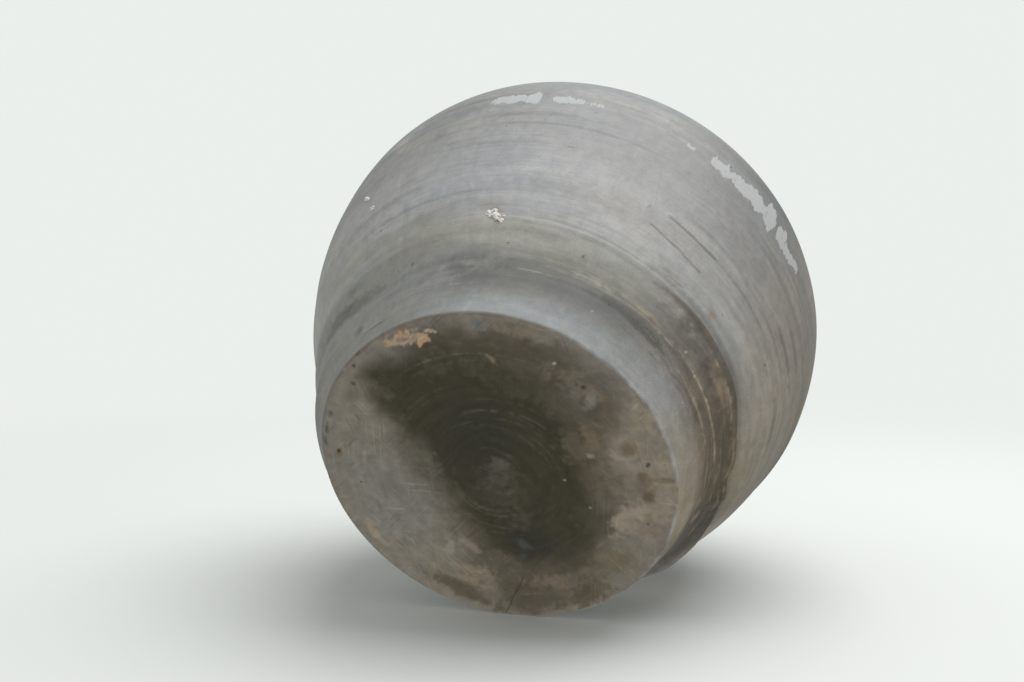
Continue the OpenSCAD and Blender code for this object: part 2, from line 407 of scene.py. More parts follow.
WALL_MARKS = [
    # angle, height, half width, half height, colour, strength
    (270, 169, 12, 0.6, (0.44, 0.44, 0.43), 0.5),
    (190, 86, 16, 16, (0.29, 0.285, 0.255), 0.5),
    (267, 146, 15, 24, (0.265, 0.265, 0.258), 0.55),
    (231, 145, 5, 30, (0.37, 0.37, 0.375), 0.4),
    (209, 178, 8, 14, (0.4, 0.39, 0.375), 0.4),
    (351, 84, 9, 7, (0.2, 0.17, 0.115), 0.55),
    (320, 114, 8, 7, (0.22, 0.2, 0.175), 0.35),
    (297, 144, 12, 13, BLUE, 0.45),
    (311, 148, 6, 9, BLUE, 0.45),
    (300, 120, 8, 8, BLUE, 0.35),
    (253, 146, 5, 6, BLUE, 0.4),
    (240, 122, 6, 28, (0.34, 0.345, 0.36), 0.4),
    (216, 125, 3, 26, (0.3, 0.3, 0.29), 0.3),
    (324, 115, 8, 2.6, (0.13, 0.12, 0.105), 0.7),
    (326, 127, 8, 2, (0.16, 0.145, 0.12), 0.6),
    (338, 122, 6, 1.5, (0.17, 0.15, 0.12), 0.5),
    (322, 106, 14, 1.6, (0.2, 0.18, 0.15), 0.4),
    (318, 145, 9, 6, (0.35, 0.32, 0.27), 0.4),
    (262, 190, 12, 8, (0.37, 0.37, 0.36), 0.4),
    (310, 99, 14, 1.2, (0.2, 0.19, 0.18), 0.5),
    (340, 97, 9, 2.5, (0.18, 0.16, 0.125), 0.55),
    (352, 108, 8, 3, (0.17, 0.15, 0.12), 0.5),
    (304, 148, 5, 2, (0.4, 0.37, 0.31), 0.4),
    (211, 160, 2, 9, (0.47, 0.43, 0.37), 0.4),
    (302.5, 75, 1, 2.6, (0.42, 0.27, 0.16), 0.6),
    (288, 75, 3, 1, (0.36, 0.28, 0.22), 0.5),
    (241.6, 71.5, 1.7, 3.6, (0.27, 0.17, 0.11), 0.75),
    (275.5, 99.5, 0.5, 1.5, (0.3, 0.2, 0.15), 0.8),
    (256.5, 161, 0.4, 0.8, (0.1, 0.1, 0.1), 0.9),
    (255, 121, 1.2, 0.6, (0.14, 0.13, 0.12), 0.7),
    (324, 93, 3, 1, (0.2, 0.18, 0.15), 0.4),
]
smear = np.exp(-(((D2 - 302) / 16) ** 2) - ((H2 - 202) / 16) ** 2)
wall = lay(wall, (0.075, 0.082, 0.095), smear * (0.8 + 0.15 * cloud + 0.12 * patchy))
wall = lay_round(wall, WALL_MARKS)

# Long faint brush strokes round the wall, most of them darker than the clay
STROKES = 46
draw = np.random.RandomState(5)
for _ in range(STROKES):
    deg, high = draw.uniform(170, 380), draw.uniform(74, 205)
    half_deg, half_high = draw.uniform(5, 20), draw.uniform(0.7, 3)
    stroke = around_mark(deg % 360, high, half_deg, half_high, 0.5)
    wall = wall * (1 + draw.uniform(-0.20, 0.07) * stroke)[..., None]

# Ridge, waist and foot: olive grey on the left; blue-grey in the middle, partly the clay's tone and partly a painted
# reflection of a blue sky; darker and warmer on the right, partly brown staining and partly painted shade and warm
# bounce light, as from a brown table beneath that side
foot_z = H2 + 2.5 * cloud + 1.5 * streaky
left = curve(foot_z, (4, 0.27), (20, 0.25), (30, 0.24), (42, 0.24), (49, 0.285), (60, 0.285), (68, 0.36))
middle = curve(
    foot_z,
    (4, 0.32), (14, 0.27), (20, 0.205), (29, 0.135), (38, 0.135), (43, 0.19), (48, 0.335), (55, 0.395), (68, 0.39),
)
# On the right the waist and the flare under the ridge are darkest: partly brown staining, partly painted shade on the
# side that faces down towards the table.
right = curve(
    foot_z,
    (4, 0.345), (20, 0.31), (28, 0.255), (36, 0.185), (42, 0.15), (48, 0.205), (54, 0.175), (65, 0.165), (69, 0.22),
)
# The right side's warm tints: partly brown staining, partly painted warm bounce light.
right_low = around(
    (5, 0.55, 0.75, 0.32), (45, 1, 0.9, 0.8), (305, 0.95, 1, 0.98),
    (320, 0.9, 0.92, 0.79), (335, 1.05, 0.84, 0.64), (350, 1.04, 0.8, 0.49),
)
right_high = around(
    (5, 0.34, 0.73, 0.36), (45, 1, 0.9, 0.8), (305, 1.03, 0.89, 0.79),
    (320, 0.8, 0.82, 0.62), (335, 0.93, 0.79, 0.49), (350, 0.68, 0.75, 0.37),
)
right = right[..., None] * lay(right_low, right_high, smooth(H2, 20, 33))
# Low in the middle the foot is tinted blue-grey: partly the clay's tone, partly a painted reflection of a blue sky.
blue_low = 1 - smooth(H2, 10, 26)
in_right, in_middle = turn(D2, 342, 38, 24), turn(D2, 262, 20, 24)
foot = left[..., None] * np.array((1, 0.99, 0.905))
blue_tint_and_sky_reflection = np.stack([1 - 0.05 * blue_low, 0.975 + 0.025 * blue_low, 0.885 + 0.125 * blue_low], -1)
foot = lay(foot, middle[..., None] * blue_tint_and_sky_reflection, in_middle)
foot = lay(foot, right, in_right)
FOOT_MARKS = [
    (283, 39, 8, 3.5, (0.1, 0.09, 0.075), 0.75),
    (262, 32, 12, 3.2, (0.11, 0.11, 0.1), 0.6),
    (300, 66, 17, 3, (0.15, 0.125, 0.1), 0.85),
    (338, 54, 11, 4.5, (0.115, 0.105, 0.075), 0.85),
    (319, 57, 8, 4, (0.28, 0.21, 0.155), 0.6),
    (303, 54, 5, 7, (0.17, 0.16, 0.14), 0.6),
    (290, 36, 10, 3, (0.085, 0.08, 0.065), 0.7),
    (276, 37, 16, 1.3, (0.09, 0.085, 0.07), 0.6),
    (283, 37.5, 13, 2.4, (0.085, 0.08, 0.065), 0.6),
    (271, 45.5, 6, 0.8, (0.42, 0.4, 0.31), 0.7),
    (286, 47, 6, 1.2, (0.4, 0.36, 0.27), 0.65),
    (270, 43.5, 13, 0.9, (0.36, 0.345, 0.275), 0.5),
    (289, 44.5, 9, 0.7, (0.36, 0.33, 0.26), 0.5),
    (215, 33, 14, 1.2, (0.19, 0.19, 0.17), 0.5),
    (222, 24, 16, 1, (0.33, 0.33, 0.31), 0.4),
    (318, 39, 10, 6, (0.115, 0.095, 0.065), 0.6),
    (320, 20, 6, 5, (0.21, 0.185, 0.14), 0.5),
    (262, 14, 8, 4, (0.22, 0.225, 0.235), 0.5),
    (291, 61, 9, 3.5, (0.43, 0.41, 0.38), 0.5),
    (194, 45, 13, 5, (0.155, 0.15, 0.125), 0.6),
    (262, 34, 9, 7, (0.12, 0.115, 0.1), 0.4),
    (237, 43, 10, 4, (0.29, 0.285, 0.26), 0.5),
    (190, 44, 10, 5, (0.175, 0.17, 0.145), 0.5),
    (352, 36, 3.5, 5, (0.28, 0.19, 0.11), 0.8),
    (262, 29, 9, 5, (0.1, 0.1, 0.09), 0.35),
    (243, 41, 6, 5, (0.28, 0.275, 0.25), 0.45),
    (275, 48, 6, 2.5, (0.41, 0.39, 0.335), 0.5),
    (251, 62, 10, 3, (0.23, 0.23, 0.225), 0.5),
    (190, 44, 14, 5, (0.15, 0.148, 0.125), 0.45),
    (229, 32, 6, 7, (0.29, 0.29, 0.27), 0.5),
    (0, 50, 9, 5, (0.075, 0.06, 0.035), 0.7),
    (344, 64, 9, 1.2, (0.3, 0.24, 0.14), 0.8),
    (330, 63, 7, 1, (0.26, 0.2, 0.13), 0.6),
    (357, 60, 6, 0.8, (0.26, 0.19, 0.11), 0.7),
    (359, 42, 3, 5, (0.3, 0.2, 0.12), 0.6),
    (350, 14, 7, 7, (0.44, 0.37, 0.29), 0.5),
    (322, 12, 8, 5, (0.36, 0.33, 0.28), 0.4),
    (196, 56, 4, 3, (0.17, 0.165, 0.14), 0.6),
    (187, 48, 5, 2, (0.17, 0.17, 0.155), 0.6),
    (192, 47, 3, 1.2, (0.12, 0.12, 0.115), 0.6),
    (200, 18, 1.8, 3, (0.13, 0.135, 0.135), 0.7),
    (207, 12, 5, 1, (0.12, 0.12, 0.12), 0.7),
    (205, 14, 4, 0.8, (0.42, 0.41, 0.36), 0.6),
    (262, 48, 14, 0.8, (0.42, 0.4, 0.32), 0.55),
    (254, 38, 7, 0.8, (0.36, 0.345, 0.28), 0.5),
    (272, 66.5, 20, 0.7, (0.28, 0.26, 0.23), 0.5),
    (324, 46.6, 17, 0.6, (0.42, 0.34, 0.24), 0.8),
    (318, 37, 12, 1, (0.33, 0.265, 0.19), 0.6),
    (325, 61.5, 14, 0.5, (0.4, 0.33, 0.24), 0.6),
    (347, 51, 9, 0.5, (0.38, 0.31, 0.22), 0.6),
    (311, 46, 0.35, 0.7, (0.55, 0.49, 0.36), 0.8),
    (304, 49, 0.35, 0.6, (0.5, 0.47, 0.4), 0.7),
    (313, 27, 0.35, 0.5, (0.55, 0.52, 0.44), 0.8),
    (275, 25.5, 0.5, 1, (0.45, 0.45, 0.44), 0.8),
    (246.6, 53, 0.5, 0.7, (0.1, 0.1, 0.1), 0.8),
    (266.6, 55.5, 0.35, 1.3, (0.1, 0.1, 0.1), 0.8),
    (218.5, 49, 0.5, 0.7, (0.09, 0.09, 0.08), 0.8),
    (291, 46, 1.5, 1.5, (0.16, 0.1, 0.09), 0.5),
]
foot = lay_round(foot, FOOT_MARKS)

# A thin dark line along the crease between the sharp part of the ridge and the wall: painted shade in the crease.
painted_groove_shade = bump(H2, 68.6, 70.4, 0.8) * sharp
foot = lay(foot, (0.085, 0.07, 0.045), painted_groove_shade * 0.85)
# Thrown lines and mottled smoke on the dark side of the foot
lined = solid_noise(np.cos(T) * 3.2 + 0 * H, np.sin(T) * 3.2 + 0 * H, (H2 + 2.5 * warp_a) / 1.9, 12, 2)
dark_side = in_right * bump(H2, 30, 70, 8)
foot = foot * (1 + dark_side * (0.16 * lined + 0.20 * streaky + 0.16 * patchy + 0.14 * ragged))[..., None]
foot = lay(foot, (0.31, 0.25, 0.165), dark_side * smooth(lined + 0.6 * patchy, 0.55, 1.1) * 0.55)
wall_lines = turn(D2, 345, 35, 20) * bump(H2, 74, 180, 10)
wall = wall * (1 + wall_lines * (0.07 * lined + 0.08 * streaky))[..., None]

# The base: smoke stain, brown halo, pale margins, spalls, pits, chips and turning marks
base = np.ones(H2.shape + (3,)) * np.array((0.29, 0.255, 0.205))
# x, y, half length, half width, lean, colour, strength, roughness and softness of the edge
PALE_AREAS = [
    (88, -42, 40, 24, 60, (0.36, 0.305, 0.23), 1, 0.4, 1.2),
    (-45, 55, 45, 28, 30, (0.285, 0.265, 0.225), 0.8, 0.4, 1.2),
    (92, 18, 12, 15, 0, (0.2, 0.16, 0.105), 0.8, 0.4, 1.2),
]
base = lay_below(base, PALE_AREAS)
halo = inside_shape([
    (-92, -44), (-68, -84), (-30, -104), (12, -109), (36, -98), (46, -80), (58, -50), (80, -20),
    (88, 30), (76, 62), (64, 88), (10, 104), (4, 78), (-18, 55), (-48, 28), (-66, 6), (-88, -10),
])
base = lay(base, (0.115, 0.092, 0.06), smooth(halo + 5 * streaky, -8, 16) * (0.85 + 0.3 * cloud))
HALO_AREAS = [
    (20, -84, 22, 9, -5, (0.24, 0.195, 0.14), 0.7, 0.3, 1.2),
    (42, -56, 13, 9, 40, (0.24, 0.195, 0.135), 0.8, 0.3, 1.2),
    (18, 82, 20, 7, 0, (0.3, 0.25, 0.185), 0.85, 0.4, 1),
    (60, 59, 16, 5, -35, (0.27, 0.2, 0.145), 0.6, 0.5, 1),
]
base = lay_below(base, HALO_AREAS)
STAIN = [
    (-95, -28), (-84, -46), (-62, -62), (-35, -76), (-5, -72), (20, -62), (38, -42), (54, -22), (66, -2),
    (70, 22), (64, 40), (42, 57), (20, 58), (2, 48), (-18, 28), (-38, 12), (-60, -3), (-80, -12), (-92, -20),
]
stain = smooth(inside_shape(STAIN) + 3 * swirl + 1.5 * patchy, -10, 9)
base = lay(base, (0.054, 0.046, 0.021), stain * 0.97)
STAIN_AREAS = [
    (-20, -18, 26, 32, -10, (0.036, 0.034, 0.022), 0.8, 0.3, 1.3),
    (34, 36, 20, 14, 20, (0.036, 0.034, 0.024), 0.8, 0.3, 1.3),
    (8, 12, 24, 22, 0, (0.085, 0.075, 0.05), 0.6, 0.3, 1.3),
    (-20, -64, 44, 10, -4, (0.1, 0.082, 0.052), 0.6, 0.3, 1.3),
    (-24, -100, 13, 4, -14, (0.27, 0.225, 0.165), 0.8, 0.3, 1),
    (60, -84, 14, 8, 35, (0.37, 0.32, 0.24), 0.8, 0.3, 1.2),
]
base = lay_below(base, STAIN_AREAS)
BASE_MARKS = [
    # x, y, half length, half width, lean, colour, strength
    (-60, -54, 8, 11, 0, (0.1, 0.08, 0.048), 0.55),
    (-82, -19, 6, 6, 0, (0.19, 0.16, 0.115), 0.35),
    (-22, 101, 9, 4, 0, (0.28, 0.27, 0.25), 0.6),
    (36, -43, 14, 9, 40, (0.19, 0.155, 0.11), 0.5),
    (-40, 16, 13, 8, 30, (0.18, 0.16, 0.12), 0.65),
    (-20, -30, 10, 22, 0, (0.042, 0.037, 0.021), 0.5),
    (23, 22, 9, 9, 0, (0.105, 0.088, 0.055), 0.6),
    (68, -35, 12, 8, 50, (0.24, 0.2, 0.145), 0.4),
    (82, -8, 6, 14, 0, (0.36, 0.3, 0.22), 0.4),
    (62, 2, 8, 10, 0, (0.1, 0.08, 0.05), 0.5),
    (-20, -81, 15, 5, -8, (0.1, 0.08, 0.045), 0.6),
    (84, 30, 10, 22, 0, (0.19, 0.155, 0.09), 0.4),
    (82, 58, 10, 9, 0, (0.11, 0.085, 0.05), 0.6),
    (20, -60, 10, 5, 0, (0.14, 0.11, 0.07), 0.5),
    (-98, -4, 6, 9, 0, (0.21, 0.175, 0.13), 0.5),
    (28, 61, 18, 6, 0, (0.155, 0.13, 0.09), 0.55),
    (20, 99, 16, 5, 0, (0.16, 0.13, 0.09), 0.6),
    (3, 1, 10, 10, 0, (0.125, 0.108, 0.08), 0.6),
    (0, -6, 5, 5, 0, (0.16, 0.14, 0.105), 0.4),
    (38, -86, 5, 4, 20, (0.19, 0.145, 0.09), 0.9),
    (42, -79, 5, 6, 30, (0.17, 0.13, 0.085), 0.9),
    (50, -69, 6, 4, 60, (0.18, 0.14, 0.09), 0.7),
    (63, -58, 5, 5, 50, (0.19, 0.145, 0.095), 0.85),
    (82, -39, 8, 7, 40, (0.21, 0.155, 0.1), 0.7),
    (87, -33, 5, 4, 20, (0.15, 0.11, 0.07), 0.9),
    (79, -44, 4, 3, 60, (0.17, 0.125, 0.08), 0.7),
    (90, -49, 9, 1.8, -32, (0.21, 0.15, 0.09), 0.75),
    (78, -54, 1.2, 1.8, 0, (0.06, 0.055, 0.05), 0.9),
    (20, -84, 1.4, 1.6, 0, (0.07, 0.06, 0.055), 0.95),
    (24, -84.5, 1.6, 2, 30, (0.05, 0.045, 0.04), 0.95),
    (32, -78, 4, 6, 20, (0.33, 0.31, 0.28), 0.5),
    (3.5, -91, 1, 1, 0, (0.62, 0.58, 0.5), 0.9),
    (-30, -75, 4.5, 1.8, 25, (0.26, 0.2, 0.12), 0.9),
    (46, -42, 2.2, 1.4, 0, (0.36, 0.31, 0.24), 0.8),
    (39, -18, 1, 1, 0, (0.36, 0.32, 0.18), 0.9),
    (60, -7, 1.2, 1, 0, (0.3, 0.27, 0.18), 0.9),
    (35, 42, 4.5, 3.2, 0, (0.085, 0.09, 0.08), 0.9),
    (37, 51, 2.2, 6, 20, (0.075, 0.08, 0.07), 0.9),
    (57, 30, 9, 6, 30, (0.06, 0.055, 0.038), 0.7),
    (84, 52, 15, 11, -50, (0.12, 0.092, 0.06), 0.85),
    (42, 79, 13, 7, -10, (0.1, 0.085, 0.055), 0.8),
    (72, 66, 16, 7, -45, (0.14, 0.105, 0.065), 0.7),
    (84, -8, 8, 16, 0, (0.44, 0.36, 0.27), 0.6),
    (12, 98, 26, 5, 2, (0.13, 0.105, 0.07), 0.85),
    (56, 83, 26, 10, -40, (0.115, 0.095, 0.062), 0.85),
    (97, -12, 5, 8, 20, (0.36, 0.24, 0.18), 0.5),
    (-104, -38, 1.6, 3.4, 20, (0.07, 0.065, 0.055), 0.9),
    (-103.5, -28, 1.2, 1.6, 0, (0.09, 0.07, 0.05), 0.9),
    (-100, -15, 1.8, 1.8, 0, (0.09, 0.08, 0.07), 0.9),
    (-98, -6, 3.5, 4, 0, (0.19, 0.15, 0.12), 0.5),
    (-106, 13, 2.4, 3, 0, (0.09, 0.09, 0.085), 0.9),
    (-105, 24, 1.2, 5, -15, (0.1, 0.09, 0.07), 0.9),
    (-103, 34, 1.2, 4, -30, (0.1, 0.09, 0.07), 0.7),
    (-93, 38, 2.6, 3.4, 0, (0.26, 0.17, 0.08), 0.9),
    (-93.5, 37, 1.2, 2.2, 0, (0.05, 0.035, 0.02), 0.95),
    (-66, -98, 4, 3, 30, (0.3, 0.31, 0.3), 0.5),
    (-45, -93, 5, 3, 20, (0.19, 0.19, 0.18), 0.8),
    (-98, -62, 8, 2, 55, (0.13, 0.12, 0.1), 0.7),
    (-54, 86, 9, 2.4, 32, (0.46, 0.36, 0.25), 0.7),
    (-44, 90, 5, 1.6, 20, (0.42, 0.34, 0.25), 0.6),
    (-74, 30, 5, 2.5, -60, (0.2, 0.19, 0.165), 0.6),
    (-52, 48, 14, 8, 20, (0.21, 0.2, 0.175), 0.6),
    (-6, 70, 3, 6, 0, (0.4, 0.36, 0.3), 0.6),
    (8, 62, 8, 2.2, 15, (0.38, 0.31, 0.24), 0.6),
]
base = lay_below(base, BASE_MARKS)
spall = base_mark(-80, -62, 12, 4.0, -42, 0.35, 0.5)
rusty = smooth(patchy + 0.6 * ragged, -0.5, 0.7)
rust = lay(np.array((0.56, 0.42, 0.28)) + 0 * base, (0.62, 0.36, 0.18), rusty)
base = lay(base, rust, spall)
base = lay(base, (0.24, 0.215, 0.18), base_mark(-82, -61, 3.5, 1.0, -40, 0.6, 0.35) * 0.7)
base = lay(base, (0.60, 0.46, 0.30), base_mark(-68, -75, 3, 1.2, -30, 0.6, 0.35) * 0.8)


def ring(cx, cy, radius, wide, middle, half):
    """A turning mark: part of a circle on the base."""
    d = np.hypot(X2 - cx, Y2 - cy) - radius + 0.6 * warp_a
    angle = np.degrees(np.arctan2(Y2 - cy, X2 - cx))
    return np.exp(-((d / wide) ** 2)) * turn(angle, middle, half, 18) * np.clip(0.6 + 0.9 * ragged, 0, 1)


RINGS = [
    # centre x and y, radius, width, middle angle, half angle, strength
    (0, 4, 25, 0.7, 100, 55, 0.3),
    (1, 3, 29, 0.6, 80, 40, 0.22),
    (4, 2, 49, 0.7, 262, 34, 0.3),
    (4, 3, 44, 0.6, 280, 30, 0.22),
    (0, 0, 84, 0.7, 236, 18, 0.35),
]
FAINT_RINGS = 30
draw = np.random.RandomState(11)
for _ in range(FAINT_RINGS):
    centre = np.array((2, 3)) + draw.uniform(-3, 3, 2)
    radius, wide = draw.uniform(12, 100), draw.uniform(0.4, 0.9)
    middle_deg, half = draw.uniform(0, 360), draw.uniform(4, 26)
    RINGS.append((*centre, radius, wide, middle_deg, half, draw.uniform(0.06, 0.22)))
for *place, strength in RINGS:
    base = lay(base, (0.25, 0.225, 0.165), ring(*place) * strength)
base = base * (1 + (0.07 + 0.10 * stain) * swirl)[..., None]
crack = np.exp(-(((X2 - 43.5 - 1.2 * warp_a) / 0.5) ** 2)) * bump(Y2, 68, 99, 3)
base = lay(base, (0.05, 0.045, 0.035), crack * 0.85)

# The worn edge between the base and the foot
edge_zone = smooth(R2 + 0.5 * warp_a, 109.2, 109.9) * (H2 < 1) + (H2 >= 1) * (1 - smooth(H2, 1.5, 2.6))
worn = turn(D2, 335, 45, 30) * (0.75 + 0.6 * patchy)
edge_colour = lay(np.ones(H2.shape + (3,)) * np.array((0.20, 0.165, 0.125)), (0.44, 0.445, 0.44), worn)

on_base = 1 - smooth(H2, 0.6, 1.4)
# The wall's colour starts at the groove, with a blurred edge where the ridge isn't sharp
blur = 1 - 0.9 * sharp
above = smooth(H2 + (1.5 * warp_a + ragged) * blur, 70.2 - 6 * blur, 70.6 + 4 * blur)
paint = lay(lay(foot, wall, above), base, on_base)
rubbed = (edge_zone * (0.5 + 0.3 * patchy + 0.25 * worn))[..., None]
paint = paint * (1 - rubbed) + edge_colour * rubbed

# Above the shoulder, and inside, where nothing was seen
upper = smooth(H2, 215, 262)
paint = lay(paint, (0.27, 0.265, 0.26), upper)
lip_wear = bump(H2, 299.5, 310, 2)[..., None] * (0.5 + 0.4 * patchy[..., None])
paint = paint * (1 - lip_wear) + np.array((0.37, 0.36, 0.34)) * lip_wear
within = (1 - is_out) * smooth(303 - H2, 0, 14) + 0 * T
dust = smooth(60 - H2 + 8 * cloud, 0, 50)
hollow = lay(np.ones(H2.shape + (3,)) * np.array((0.17, 0.16, 0.145)), (0.30, 0.27, 0.225), dust)
paint = lay(paint, hollow, within)

low_wall = 1 - smooth(H2, 70, 130)
tone = 1 + (0.03 + 0.07 * low_wall) * streaky + 0.05 * long_streak + 0.04 * cloud
tone = tone + 0.025 * patchy + 0.02 * upright + 0.04 * ragged + 0.04 * lined
tone = np.where(on_base > 0.5, 1 + 0.07 * patchy + 0.06 * cloud + 0.10 * ragged, tone)
warmth = 0.035 * long_streak + 0.012 * warp_a
paint = paint * tone[..., None] * (1 + warmth[..., None] * np.array((1.0, 0.1, -1.3)))
paint = np.clip(paint, 0.015, 0.9)

# Lime scuff round the widest part, in patches with torn edges
SCUFFS = [
    # angle, half angle, middle height, half height
    (237, 5, 173, 7), (242, 2, 172, 12), (250, 4, 172, 6), (256, 3, 171, 3), (278, 2, 168, 3),
    (286, 3, 169, 10), (294, 6, 171, 12), (301, 2, 170, 17), (306, 2, 169, 13), (310, 5, 165, 6),
]
tears_up = 0.85 + 0.35 * noise(U, 0 * U, 430, 1, 21)
tears_down = 0.90 + 0.35 * noise(U, 0 * U, 290, 1, 22)
scuff = np.zeros(H2.shape)
for deg, half_deg, high, half_high in SCUFFS:
    across = np.clip(np.abs(D2 - deg) / half_deg, 0, 1)
    reach = half_high * np.sqrt(1 - across * across) * np.where(H2 > high, tears_up, tears_down)
    patch = np.clip((reach - np.abs(H2 - high)) / 4 + 0.5, 0, 1) * smooth(reach, 0.4, 4)
    scuff = np.maximum(scuff, patch * is_out)
SCRATCHES = [
    # from angle and height to angle and height, sag in the middle, strength
    (278, 101.8, 298, 98.6, -1.2, 1),
    (275, 91, 297, 85.2, -1.4, 0.9),
    (284, 74.2, 294, 73, -0.5, 0.8),
    (300, 99.2, 322, 98.6, 0.4, 0.5),
    (318, 131.5, 333, 130, 0.5, 0.5),
    (248, 118, 262, 117, -0.6, 0.3),
    (222, 148, 244, 149.5, 0.5, 0.3),
    (300, 84, 322, 82.5, 0.5, 0.3),
    (306, 135.5, 316, 134, 0.2, 0.4),
]
SCRATCH_HALF = 3.2
scratch = 0 * H2
for a0, h0, a1, h1, sag, strength in SCRATCHES:
    t = (D2 - a0) / (a1 - a0)
    line_h = h0 + (h1 - h0) * t + 4 * sag * t * (1 - t)
    ends_in = smooth(t, 0, 0.15) * (1 - smooth(t, 0.8, 1))
    depth = np.clip(1 - np.abs(H2 - line_h) / SCRATCH_HALF, 0, 1)
    scratch = np.maximum(scratch, depth * ends_in * strength * is_out)
# How dull the clay is, and its place round the pot and along the section, for the fine streaks
matte = np.clip(on_base + within * 0.8 + 0.3 * (1 - upper) * (H2 < 70), 0, 1)
run = np.concatenate([[0], np.cumsum(np.hypot(*np.diff(crisp[rows], axis=0).T))])[:, None] * MM + 0 * T
wrap = np.stack([np.cos(T) + 0 * H, np.sin(T) + 0 * H, run], -1)
# How many fine scratches and pale flecks there are
hairs = is_out * (0.3 + 0.7 * on_base * (1 - 0.7 * stain)) * (1 - 0.6 * upper)
foot_flecks = turn(D2, 318, 16, 22) * bump(H2, 4, 40, 9) * (1 - on_base)
flecks = is_out * np.maximum(foot_flecks, 0.15 * on_base * smooth(R2, 72, 95))
# What the material reads at every point, three numbers to a name
FIELDS = {
    "paint": paint,
    "wrap": wrap,
    "marks": np.stack([scuff, scratch, matte], -1),
    "wear": np.stack([hairs, flecks, 0 * H2], -1),
}


def row_steps(k):
    """How many points row k needs: fewer near the axis."""
    r, n = float(crisp[rows[k], 0]), STEPS
    for limit in (55, 27, 13, 6, 2.5):
        if r < limit:
            n //= 2
    return 1 if r < 0.1 else n


def band(first, last):
    """Vertices, normals, picked points and faces of the surface from one row to another."""
    verts, norms, faces, starts, picks = [], [], [], [], []
    counts = [row_steps(k) for k in range(first, last + 1)]
    for k, n in zip(range(first, last + 1), counts):
        starts.append(len(verts))
        pick = np.arange(n) * (STEPS // n)
        verts.extend(grid[k, pick])
        norms.extend(normal[k, pick])
        picks.append(k * STEPS + pick)
    for q in range(len(counts) - 1):
        a, b, na, nb = starts[q], starts[q + 1], counts[q], counts[q + 1]
        if na == nb:
            faces += [(a + i, a + (i + 1) % na, b + (i + 1) % nb, b + i) for i in range(na)]
        elif na == 1:
            faces += [(a, b + (i + 1) % nb, b + i) for i in range(nb)]
        elif nb == 1:
            faces += [(a + i, a + (i + 1) % na, b) for i in range(na)]
        elif nb == 2 * na:
            for i in range(na):
                m = b + 2 * i
                faces += [(a + i, m + 1, m), (a + i, a + (i + 1) % na, b + (2 * i + 2) % nb, m + 1)]
        else:
            for i in range(nb):
                m = a + 2 * i
                faces += [(m, m + 1, b + i), (m + 1, a + (2 * i + 2) % na, b + (i + 1) % nb, b + i)]
    return verts, norms, faces, np.concatenate(picks)


def seam(a, b):
    """The faces between the full turn of points that starts at a and the one that starts at b."""
    return [(a + i, a + (i + 1) % STEPS, b + (i + 1) % STEPS, b + i) for i in range(STEPS)]


def build(k, node):
    """The closed piece for node k: its outer face, its inner face and the seams between them."""
    verts, norms, faces, picks = band(marks[k], marks[k + 1])
    seam_faces = []
    if k < TOP:
        inner_verts, inner_norms, inner_faces, inner_picks = band(marks[2 * TOP - k], marks[2 * TOP + 1 - k])
        start = len(verts)
        verts += inner_verts
        norms += inner_norms
        faces += [tuple(i + start for i in f) for f in inner_faces]
        picks = np.concatenate([picks, inner_picks])
        seam_faces += seam(start - STEPS, start)
    if k:
        seam_faces += seam(len(verts) - STEPS, 0)
    mesh = bpy.data.meshes.new(node)
    mesh.from_pydata([tuple(v) for v in verts], [], faces + seam_faces)
    loops = np.empty(len(mesh.loops), int)
    mesh.loops.foreach_get("vertex_index", loops)
    split = np.array(norms)[loops]
    for p in list(mesh.polygons)[len(faces):]:
        split[p.loop_start : p.loop_start + p.loop_total] = p.normal
    mesh.polygons.foreach_set("use_smooth", [True] * len(mesh.polygons))
    mesh.normals_split_custom_set([tuple(n) for n in split])
    for name, field in FIELDS.items():
        data = field.reshape(-1, 3)[picks].astype(np.float32)
        mesh.attributes.new(name, "FLOAT_VECTOR", "POINT").data.foreach_set("vector", data.ravel())
    piece = bpy.data.objects.new("clay_" + node, mesh)
    bpy.context.scene.collection.objects.link(piece)
    return piece


